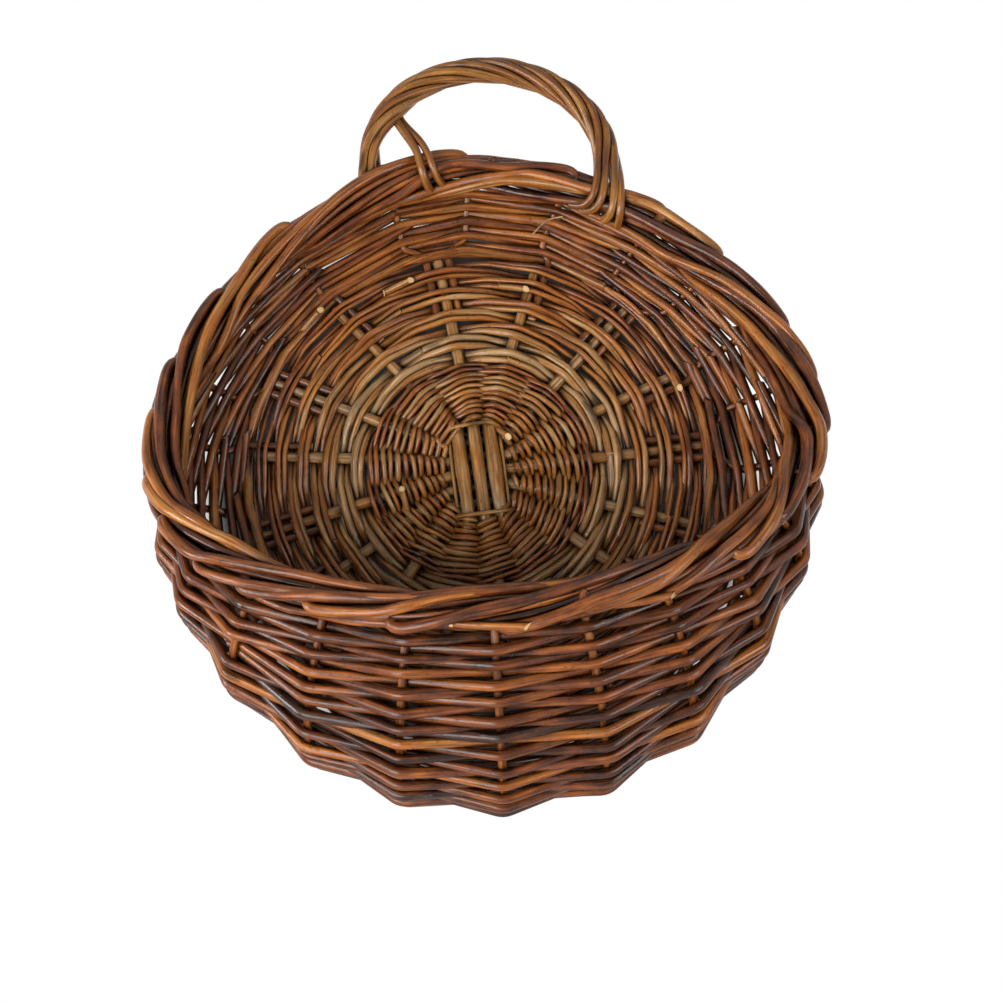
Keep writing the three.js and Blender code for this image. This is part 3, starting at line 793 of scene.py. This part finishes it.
for band, count in enumerate(wall["pairsAfter"]):
    ringOrder += [("full", band)] + [("pair", band)] * count
stakeHome = np.array([one["azimuth"] + one["spread"] for one in stakes])
spokeHome = np.array([spoke["azimuth"] for spoke in spokes], float)


def pairsAt(azimuth):  # how many pairs of short rows the wall has room for
    pitch = mix(*wall["pitch"], frontShare(azimuth))
    return np.clip((wallLength(azimuth) / pitch - fullRows) / 2, 0, len(wall["pairOrder"]))


def sideOf(rowIndex, j):  # 1 in front of the stake, -1 behind it
    return 1 if (rowIndex + j) % 2 == 0 else -1


pairs = []
for kind, band in ringOrder:
    if kind == "pair":
        need = wall["pairOrder"][len(pairs)] - 0.5
        homes = spokeHome if band < wall["groupedRows"] else stakeHome
        right = np.arange(180 + form["mouthTurn"], 0, -tableStep)  # from the front of the mouth up both sides
        left = np.arange(180 + form["mouthTurn"], 360 + form["mouthTurn"], tableStep)
        ends = []
        for way, longest in zip((right, left), wall["topEnds"]):
            past = pairsAt(way) < need
            end = way[np.argmax(past)] if past.any() else longest
            ends.append(int(np.argmin(np.abs(homes - end))))
        first, last = ends
        if last - first < wall["fewest"]:
            first, last = first - 2, last + 2
        lanes = []
        for lane in (0, 1):
            rowIndex = band + 1 + 2 * len(pairs) + lane
            # both ends lie on the inside, behind a stake
            begin = first + (1 if sideOf(rowIndex, first) > 0 else 0)
            end = last - (1 if sideOf(rowIndex, last) > 0 else 0)
            lanes.append({"first": begin, "last": end, "rowIndex": rowIndex,
                          "from": homes[begin], "to": homes[end]})
        pairs.append({"band": band, "lanes": lanes})


def laneRoom(lane, azimuth):  # 1 along the short row, none past its ends
    inside = np.minimum(azimuth - lane["from"], lane["to"] - azimuth)
    room = mix(wall["squeeze"], 1.0, ease(inside / wall["fullAfter"]))
    fade = ease((inside + wall["goneAfter"]) / wall["goneAfter"])
    return np.where(inside < -wall["goneAfter"], 0.0, room * fade)


def rowPlace(position, lane, azimuth):  # share of the wall's height, and the row's room in mm
    azimuth = np.mod(np.asarray(azimuth, float), 360)
    total = np.zeros_like(azimuth)
    below = np.zeros_like(azimuth)
    pairIndex = 0
    for spot, (kind, band) in enumerate(ringOrder):
        if kind == "full":
            if spot == position:
                below = total + 0.5
            total = total + 1
        else:
            rooms = [laneRoom(each, azimuth) for each in pairs[pairIndex]["lanes"]]
            if spot == position:
                below = total + rooms[lane] / 2 + (rooms[0] if lane else 0)
            total = total + rooms[0] + rooms[1]
            pairIndex += 1
    return below / (total - wall["closeUp"]), wallLength(azimuth) / total


def rowCorners(position, lane, rowIndex, band, picks):
    corners = []
    rooms = []
    for j in picks:
        if band < wall["groupedRows"]:
            group = [one for one in stakes if one["spoke"] == j % len(spokes)]
        else:
            group = [stakes[j % len(stakes)]]
        side = sideOf(rowIndex, j)
        for azimuth in sorted(float(stakeAzimuth(one, 0.5)) for one in group):
            share, room = rowPlace(position, lane, np.array([azimuth]))
            if len(group) == 1:
                azimuth = float(stakeAzimuth(group[0], share[0]))
                share, room = rowPlace(position, lane, np.array([azimuth]))
            slip = dice.normal(0, wall["slip"])
            swing = mix(*wall["swing"], ease(frontShare(azimuth)))
            corners.append(onWall(np.array([azimuth]), share + slip, side * swing)[0])
            rooms.append(room[0])
    return corners, rooms


def roundRow(position, rowIndex, band):
    count = len(spokes) if band < wall["groupedRows"] else len(stakes)
    begin = rowIndex * withy["endStep"] % count
    begin += (rowIndex + begin + 1) % 2  # the ends meet on the inside, behind a stake
    corners, rooms = rowCorners(position, 0, rowIndex, band, range(begin, begin + count))
    corners.append(corners[0])
    rooms.append(rooms[0])
    return weaverRod(corners, rooms, wall["roundTint"])


def shortRow(position, pair, lane):
    row = pair["lanes"][lane]
    picks = range(row["first"], row["last"] + 1)
    corners, rooms = rowCorners(position, lane, row["rowIndex"], pair["band"], picks)
    start = corners[0] + unit(corners[0] - corners[1]) * wall["tail"]
    finish = corners[-1] + unit(corners[-1] - corners[-2]) * wall["tail"]
    # painted shade: the lower a band lies in the pocket, the darker its short rows
    low, high = (np.array(tint) for tint in wall["shortTint"])
    tint = mix(low, high, pair["band"] / (len(wall["pairsAfter"]) - 1))
    return weaverRod([start] + corners + [finish], [rooms[0]] + rooms + [rooms[-1]], tint)


def weaverRod(corners, rooms, tint):
    path = bendPath(corners, wall["bend"])
    thick = wall["width"] * dice.uniform(*wall["vary"])
    room = np.interp(np.linspace(0, 1, len(path)), np.linspace(0, 1, len(rooms)), rooms)
    width = np.minimum(thick, room * wall["overlap"])
    tint = dice.uniform(*tint)
    return growRod(path, width, tint, wander=wall["wander"], taper=dice.uniform(*wall["taper"]), slant=0.8)


wallRods = [[] for _ in wall["pairsAfter"]]
rowIndex = 0
pairIndex = 0
for position, (kind, band) in enumerate(ringOrder):
    if kind == "full":
        wallRods[band].append(roundRow(position, rowIndex, band))
        rowIndex += 1
    else:
        for lane in (0, 1):
            wallRods[band].append(shortRow(position, pairs[pairIndex], lane))
        pairIndex += 1
        rowIndex += 2
loose = onWall(fibre["azimuths"], fibre["heights"], fibre["out"])
wallRods[-1].append(growRod(softPath(loose, 1.0, 6), fibre["width"], fibre["tint"], sides=5))
for band, rods in enumerate(wallRods):
    layPiece(f"wall_weave_{band + 1}", rods, brownWillow)
print("wall woven,", rowIndex, "rows in front")

# Border: long rods wound round the mouth, and over them the stakes' own ends. Each of those comes up
# on the outer side, bends over in a knuckle and runs along the border to its inner side.
border = {
    "strands": 3,
    "under": {"width": 3.2, "lay": 4.4, "tracks": 3, "laps": 3, "passTurn": 300, "taper": (0.86, 1.04),
              "vary": (0.9, 1.06), "endShare": 0.18, "endDip": 2.0, "tint": (0.05, 0.45),
              "length": 180, "steps": 46, "startUneven": 2,
              "turnUneven": (34, 10), "layUneven": (36, 0.6)},  # every so many mm, by so much
    "over": {"width": 3.9, "lay": 7.0, "span": 68, "from": 28, "turn": 208, "taper": 0.25,
             "vary": (0.8, 1.1), "endShare": 0.15, "endDip": 2.6, "tint": (0.15, 0.7),
             "length": 170, "steps": 42, "startUneven": 1.5, "spanUneven": (0.85, 1.15), "fromUneven": 8,
             "turnUneven": (32, 12), "layUneven": (30, 0.55),
             "knuckle": (3.4, 1.4),  # the bend at the start: mm along the border, mm below the rod
             "below": (1.0, 1.2, 6.5)},  # where it comes up from the wall: mm along, behind, below
    "core": {"width": 2.6, "lay": 1.5, "turns": 2, "steps": 121, "tint": 0.2},
    # a bud scar on a thick rod at the top
    "knot": {"azimuth": 1.5, "angle": 80, "lays": (4.0, 6.5, 7.8, 8.3, 8.5),
             "widths": (4.2, 5.2, 4.9, 3.4, 0.3), "tint": 0.12},
    # two rods that end in front: azimuths from and to, and the angle they come out at
    "ends": {"places": ((158, 146.5, 22), (184, 171, 35)), "lays": (4.5, 8.6), "width": 3.2,
             "tint": 0.5, "steps": 14},
}


def borderPath(azimuth, angle, lay):
    along, front, up = rimFrame(azimuth)
    turn = np.radians(angle)
    return rimPoint(azimuth) + times(up, np.cos(turn) * lay) + times(front, np.sin(turn) * lay)


def underRods(strand):  # each starts inside the border, winds once over it and dives in again
    look = border["under"]
    rods = []
    for track in range(look["tracks"]):
        phase = (strand + track / look["tracks"]) / border["strands"] * 360
        for lap in range(look["laps"]):
            startAngle = 90 + look["passTurn"] / 2
            startAzimuth = (phase + lap * 360) / look["laps"] + dice.normal(0, look["startUneven"])
            azimuth = np.linspace(0, look["passTurn"] / look["laps"], look["steps"]) + startAzimuth
            travel = np.linspace(0, 1, look["steps"])
            run = travel * look["length"]
            angle = startAngle - look["laps"] * (azimuth - startAzimuth)
            angle = angle + unevenness(run, *look["turnUneven"])
            nearEnd = np.clip(np.abs(travel - 0.5) * 2 - (1 - look["endShare"]), 0, 1) / look["endShare"]
            lay = look["lay"] - look["endDip"] * nearEnd + unevenness(run, *look["layUneven"])
            width = look["width"] * mix(*look["taper"], travel) * dice.uniform(*look["vary"])
            path = borderPath(azimuth, angle, lay)
            rods.append(growRod(path, width, dice.uniform(*look["tint"]), sides=10, slant=0.4))
    return rods


def overRod(one):
    look = border["over"]
    begin = one["azimuth"] + one["spread"] + dice.normal(0, look["startUneven"])
    travel = np.linspace(0, 1, look["steps"])
    run = travel * look["length"]
    azimuth = begin - travel * look["span"] * dice.uniform(*look["spanUneven"])
    start = look["from"] + dice.normal(0, look["fromUneven"])
    angle = start + look["turn"] * travel + unevenness(run, *look["turnUneven"])
    nearEnd = np.clip(travel - (1 - look["endShare"]), 0, 1) / look["endShare"]
    lay = look["lay"] - look["endDip"] * nearEnd + unevenness(run, *look["layUneven"])
    path = borderPath(azimuth, angle, lay)
    along, front, up = rimFrame(begin)
    onward, behind, under = look["below"]
    below = path[0] - up * under - front * behind + along * onward
    bend = path[0] + along * look["knuckle"][0] - up * look["knuckle"][1]
    path = softPath(np.vstack([below, bend, path]), rounds=4)
    width = look["width"] * dice.uniform(*look["vary"])
    return growRod(path, width, dice.uniform(*look["tint"]), sides=10, taper=look["taper"], slant=0.5)


def borderRods(strand):
    rods = underRods(strand) + [overRod(one) for one in stakes[strand::border["strands"]]]
    core = border["core"]
    azimuth = np.linspace(0, 360, core["steps"])
    path = borderPath(azimuth, strand * 120 - core["turns"] * azimuth, core["lay"] + 0 * azimuth)
    rods.append(growRod(path, core["width"], core["tint"]))
    if strand == 0:
        knot = border["knot"]
        path = [borderPath(knot["azimuth"], knot["angle"], lay) for lay in knot["lays"]]
        rods.append(growRod(path, knot["widths"], knot["tint"], sides=10))
        look = border["ends"]
        for start, finish, angle in look["places"]:
            azimuth = np.linspace(start, finish, look["steps"])
            lay = mix(*look["lays"], np.linspace(0, 1, look["steps"]))
            path = borderPath(azimuth, angle + 0 * azimuth, lay)
            face = unit(path[-1] - rimPoint(finish))
            rods.append(growRod(path, look["width"], look["tint"], slant=1.6, face=face))
    return rods


for strand in range(border["strands"]):
    layPiece(f"border_strand_{strand + 1}", borderRods(strand), brownWillow)
print("border laid")

# Handle: seven rods twisted into an arch; their ends straddle the border and are tucked into the weave
handle = {
    "width": 3.2,
    "lay": 3.6,
    "rods": 7,
    "pieces": 5,  # two of the pieces are a pair of rods
    "halfSpan": 46,
    "middleX": 4,
    "crown": 156,
    "lift": 6,  # the arch starts this far above the border
    "start": 18,  # degrees, of the first rod at the right foot
    "twist": 540,  # degrees, from foot to foot
    "borderRadius": 8.85,
    "spread": 1.25,  # the tails lie this much wider apart than the twist
    # angle round the border and distance from its middle
    "frontWrap": ((48, 11.2), (75, 11.2), (100, 11.2), (125, 11.2), (150, 11), (162, 10)),
    "rearWrap": ((-50, 11.4), (-75, 11.4), (-100, 11.4), (-125, 11.4)),
    "intoBorder": ((14, 11), (8, 6), (4, 1.5)),
    # rods in front of the right foot, and how far their tails turn left
    "rightFront": {0: -10, 1: -8, 2: -4, 3: -1},
    "leftFront": {3: 18, 4: 24},  # rods that cross to the right in front of the left foot
    "leftTucked": (5, 6),  # rods that end inside the border there
    "ends": (0.03, 0.97),  # shares of the arch where the twist stops
    "leaveAt": 0.82,  # the crossing rods leave it here
    "leaveShift": 0.7,  # and have crossed this share of the way where they reach the border
    "steps": 61,
    "vary": (0.92, 1.1),
    "taper": (-0.2, 0.2),
    "tint": (0.35, 0.75),
    "nudge": 0.025,  # shares of the arch, to find which way it runs
}


def handleFoot(x):
    azimuth = math.degrees(math.asin((x - form["mouthMiddleX"]) / form["rimHalfWidth"]))
    along, front, up = rimFrame(azimuth)
    return {"centre": rimPoint(azimuth), "along": along, "front": front, "up": up}


rightFoot = handleFoot(handle["middleX"] + handle["halfSpan"])
leftFoot = handleFoot(handle["middleX"] - handle["halfSpan"])


def archPoint(share):
    turn = math.pi * share
    spring = mix(rightFoot["centre"], leftFoot["centre"], (1 - math.cos(turn)) / 2)
    level = handle["borderRadius"] + handle["lift"]
    rise = handle["crown"] - (rightFoot["centre"][2] + leftFoot["centre"][2]) / 2 - level
    return spring + np.array([0, 0, level + rise * math.sin(turn)])


def archOffset(rodIndex, share):
    along = unit(archPoint(min(share + handle["nudge"], 1)) - archPoint(max(share - handle["nudge"], 0)))
    back = np.array([0.0, 1.0, 0.0])
    inward = -unit(np.cross(back, along))
    turn = math.radians(handle["start"] + rodIndex / handle["rods"] * 360 + handle["twist"] * share)
    return inward * math.cos(turn) - back * math.sin(turn)


# The tail of a rod goes down over the slanting border, in front of it or behind
def footTail(foot, offset, wrap, drift=0.0, early=0.0, bend=3):
    tail = []
    for i, (angle, reach) in enumerate(wrap):
        turn = math.radians(angle)
        drifted = drift * mix(early, 1, (i / (len(wrap) - 1)) ** bend)
        across = offset[0] * handle["lay"] * handle["spread"] + drifted
        slope = foot["along"][2] / foot["along"][0] * across
        depth = foot["along"][1] / foot["along"][0] * across
        around = np.array([0, -math.sin(turn), math.cos(turn)]) * reach
        tail.append(foot["centre"] + np.array([across, depth, slope]) + around)
    return tail


handlePieces = [[] for _ in range(handle["pieces"])]
for i in range(handle["rods"]):
    if i in handle["rightFront"]:
        right = footTail(rightFoot, archOffset(i, 0), handle["frontWrap"], handle["rightFront"][i])
    else:
        right = footTail(rightFoot, archOffset(i, 0), handle["rearWrap"])
    first, last = handle["ends"]
    if i in handle["leftFront"]:
        last = handle["leaveAt"]
        drift = handle["leftFront"][i]
        left = footTail(leftFoot, archOffset(i, 1), handle["frontWrap"], drift, handle["leaveShift"], 1)
    else:
        wrap = handle["intoBorder"] if i in handle["leftTucked"] else handle["rearWrap"]
        left = footTail(leftFoot, archOffset(i, 1), wrap)
    shares = np.linspace(first, last, handle["steps"])
    arch = [archPoint(s) + archOffset(i, s) * handle["lay"] for s in shares]
    path = softPath(np.vstack([right[::-1], arch, left]), rounds=10)
    width = handle["width"] * dice.uniform(*handle["vary"])
    tint = dice.uniform(*handle["tint"])
    rod = growRod(path, width, tint, sides=10, taper=dice.uniform(*handle["taper"]), slant=0.4)
    handlePieces[round(i * handle["pieces"] / handle["rods"]) % handle["pieces"]].append(rod)
for i, rods in enumerate(handlePieces):
    layPiece(f"handle_rod_{i + 1}", rods, goldWillow)
print("handle twisted")

# Stage: a pale floor well below, soft light, and a white background behind the basket
stage = {
    "floorHeight": -1.3,
    "floorHalf": 4,
    "floorColour": "#efeeec",
    "floorGlow": 0.85,
    "worldLight": 0.08,
    "wallPlace": 0.0237,  # where the back of the disc touches it
    "wallHalf": 2,
    "shadeReach": 0.05,  # how near the basket has to be to shade the wall
    "shadeDepth": 2.5,  # a higher power makes the shade darker
    "shadeMiddle": (-0.003, 0.0237, -0.155),
    "shadeRadius": (0.097, 0.112),  # the shade fades out between these
}


def addStagePlane(name, corners):
    mesh = bpy.data.meshes.new(name)
    mesh.from_pydata(corners, [], [(0, 1, 2, 3)])
    plane = bpy.data.objects.new(name, mesh)
    bpy.context.scene.collection.objects.link(plane)
    return plane


def seenDirectly(tree):  # 1 for what the eye sees, also in the varnish
    rays = addNode(tree, "LightPath").node.outputs
    seen = rays["Is Camera Ray"]
    for more in ("Is Glossy Ray", "Is Transmission Ray"):
        seen = addNode(tree, "Math", (seen, rays[more]), operation="MAXIMUM")
    return seen


half = stage["floorHalf"]
corners = ((-half, -half), (half, -half), (half, half), (-half, half))
floor = addStagePlane("floor", [(x, y, stage["floorHeight"]) for x, y in corners])
# plain and dull; bright to the eye, and it keeps the shadow
paper, paperTree = startMaterial("matt white paper")
paperGlow = addNode(paperTree, "Math", (seenDirectly(paperTree), stage["floorGlow"]), operation="MULTIPLY")
paperColour = toLinear(stage["floorColour"])
paperBright = addNode(paperTree, "Emission", {"Color": paperColour, "Strength": paperGlow})
paperDull = addNode(paperTree, "BsdfDiffuse", {"Color": paperColour})
paperSum = addNode(paperTree, "AddShader", (paperBright, paperDull))
addNode(paperTree, "OutputMaterial", {"Surface": paperSum})
floor.data.materials.append(paper)

# The white wall that the basket hangs on. Only the camera sees it, and only from the front, so that the
# back can be looked at too. It is white, with a painted shadow that darkens it where the basket lies close.
half = stage["wallHalf"]
corners = ((-half, stage["floorHeight"]), (half, stage["floorHeight"]), (half, half), (-half, half))
houseWall = addStagePlane("house wall", [(x, stage["wallPlace"], z) for x, z in corners])
houseWall.visible_diffuse = False
houseWall.visible_transmission = False
houseWall.visible_shadow = False
plaster, plasterTree = startMaterial("white wall plaster")
# painted shadow: the glowing white darkens where the basket lies within reach, faded out away from the
# basket's middle
openness = addNode(plasterTree, "AmbientOcclusion", {"Distance": stage["shadeReach"]}, "AO", samples=8)
shadow = addNode(plasterTree, "Math", (openness, stage["shadeDepth"]), operation="POWER")
wallSpot = addNode(plasterTree, "NewGeometry").node.outputs
places = (wallSpot["Position"], stage["shadeMiddle"])
spread = addNode(plasterTree, "VectorMath", places, "Value", operation="DISTANCE")
fade = (spread, *stage["shadeRadius"], shadow, 1)
shade = addNode(plasterTree, "MapRange", fade, interpolation_type="SMOOTHSTEP")
bright = addNode(plasterTree, "Emission", {"Color": (1, 1, 1, 1), "Strength": shade})
clear = addNode(plasterTree, "BsdfTransparent")
plasterMix = addNode(plasterTree, "MixShader", (wallSpot["Backfacing"], bright, clear))
addNode(plasterTree, "OutputMaterial", {"Surface": plasterMix})
houseWall.data.materials.append(plaster)

world = bpy.data.worlds.new("studio")
bpy.context.scene.world = world
world.use_nodes = True
sky = world.node_tree
sky.nodes.clear()
level = addNode(sky, "MapRange", (seenDirectly(sky), 0, 1, stage["worldLight"], 1))
background = addNode(sky, "Background", {"Color": (1, 1, 1, 1), "Strength": level})
addNode(sky, "OutputWorld", {"Surface": background})

# Lamps: a key light from the lower left in front, smaller ones at the sides, and two for the back
basketMiddle = Vector((-0.004, -0.03, -0.15))
lamps = {
    "key": {"place": (-0.62, -1.0, -0.68), "size": 0.7, "power": 24},
    "left": {"place": (-1.1, -0.35, -0.4), "size": 0.4, "power": 13},
    "right": {"place": (0.85, -0.8, -0.4), "size": 0.5, "power": 8},
    "fill": {"place": (0.2, -0.95, 0.85), "size": 0.9, "power": 1.5},
    "backLeft": {"place": (-1.0, 0.8, 0.35), "size": 0.8, "power": 15},
    "backRight": {"place": (1.0, 0.8, 0.2), "size": 0.8, "power": 15},
}
for name, lamp in lamps.items():
    light = bpy.data.lights.new(name, "AREA")
    light.energy = lamp["power"]
    light.size = lamp["size"]
    box = bpy.data.objects.new(name, light)
    box.location = lamp["place"]
    box.rotation_euler = (basketMiddle - Vector(lamp["place"])).to_track_quat("-Z", "Y").to_euler()
    bpy.context.scene.collection.objects.link(box)

# Camera: 14 degrees below square to the disc, whose middle comes a little left of the picture's
shot = {
    "distance": 850,
    "below": 14,
    "depth": 45,  # mm in front of the wall, where the scale holds
    "scale": 2.745,  # pixels to a mm
    "aimPixel": (479, 447),  # where the disc's middle comes in the picture
    "picture": 1002,
    "sensor": 36,
}
tilt = math.radians(shot["below"])
aim = np.array(form["discMiddle"]) + (0, -shot["depth"], 0)
eye = aim - shot["distance"] * np.array([0, math.cos(tilt), math.sin(tilt)])
fromMiddle = (shot["picture"] / 2 - np.array(shot["aimPixel"])) / shot["scale"]
upward = np.array([0, -math.sin(tilt), math.cos(tilt)])
target = aim + fromMiddle[0] * np.array([1, 0, 0]) - fromMiddle[1] * upward
camera = bpy.data.objects.new("camera", bpy.data.cameras.new("camera"))
camera.data.sensor_width = shot["sensor"]
camera.data.lens = shot["scale"] * shot["distance"] / shot["picture"] * shot["sensor"]
camera.location = Vector(eye / 1000)
camera.rotation_euler = Vector(target - eye).to_track_quat("-Z", "Y").to_euler()
bpy.context.scene.collection.objects.link(camera)
bpy.context.scene.camera = camera
bpy.context.scene.view_settings.view_transform = "Standard"

print("basket dressed")
